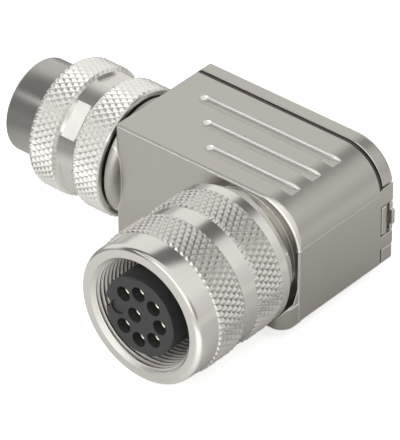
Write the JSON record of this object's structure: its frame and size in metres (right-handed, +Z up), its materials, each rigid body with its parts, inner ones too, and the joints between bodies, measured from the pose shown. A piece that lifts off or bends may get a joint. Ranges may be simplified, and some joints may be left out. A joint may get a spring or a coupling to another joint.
{
  "type": "right-angle circular connector",
  "caption": "Right-angle field-attachable circular connector: knurled coupling ring over a round socket insert, box housing with snap cover, and a knurled cable clamp nut.",
  "frame": {"origin": "centre of the mating face, on the coupling ring's axis, in the plane of the ring's front rim", "axes": "-Y out of the mating face along the ring's axis, -X along the cable axis and out of the clamp nut, +Z up through the grooved top face"},
  "size_m": [0.0522, 0.0404, 0.0204],
  "materials": {
    "cast_nickel": "satin nickel plate on a die casting",
    "turned_nickel": "bright nickel plate on turned brass",
    "spring_steel": "plain spring steel",
    "black_plastic": "moulded black plastic",
    "grey_plastic": "moulded dark grey plastic",
    "contact_gold": "gold-plated brass",
    "seal_rubber": "black rubber"
  },
  "bodies": {
    "housing": {"angle_housing": "cast_nickel", "insert_sleeve": "turned_nickel", "mating_seal": "seal_rubber", "sleeve_seal": "seal_rubber", "insert_body": "black_plastic", "contact_retainer": "black_plastic", "insert_circlip": "spring_steel", "cable_seal": "seal_rubber", "shield_ring": "turned_nickel", "contact_1": "contact_gold", "contact_2": "contact_gold", "contact_3": "contact_gold", "contact_4": "contact_gold", "contact_5": "contact_gold", "contact_6": "contact_gold", "contact_7": "contact_gold", "contact_8": "contact_gold"},
    "coupling_ring": {"coupling_ring": "turned_nickel"},
    "clamp_cage": {"clamp_cage": "grey_plastic", "thrust_washer": "turned_nickel"},
    "clamp_nut": {"clamp_nut": "turned_nickel"},
    "back_cover": {"back_cover": "cast_nickel"}
  },
  "joints": [
    {"name": "ring_turn", "type": "hinge", "parent": "housing", "child": "coupling_ring", "pos_m": [0, 0.0127, 0], "axis": [0, -1, 0], "continuous": true},
    {"name": "clamp_travel", "type": "slide", "parent": "housing", "child": "clamp_cage", "axis": [-1, 0, 0], "range_m": [0, 0.005]},
    {"name": "nut_turn", "type": "hinge", "parent": "clamp_cage", "child": "clamp_nut", "pos_m": [-0.033, 0.0277, 0], "axis": [-1, 0, 0], "range_deg": [0, 1800]},
    {"name": "cover_pull", "type": "slide", "parent": "housing", "child": "back_cover", "axis": [0, 1, 0], "range_m": [0, 0.008]}
  ],
  "couplings": [
    {"joint": "clamp_travel", "follows": "nut_turn", "m_per_rad": 0.00015915}
  ]
}
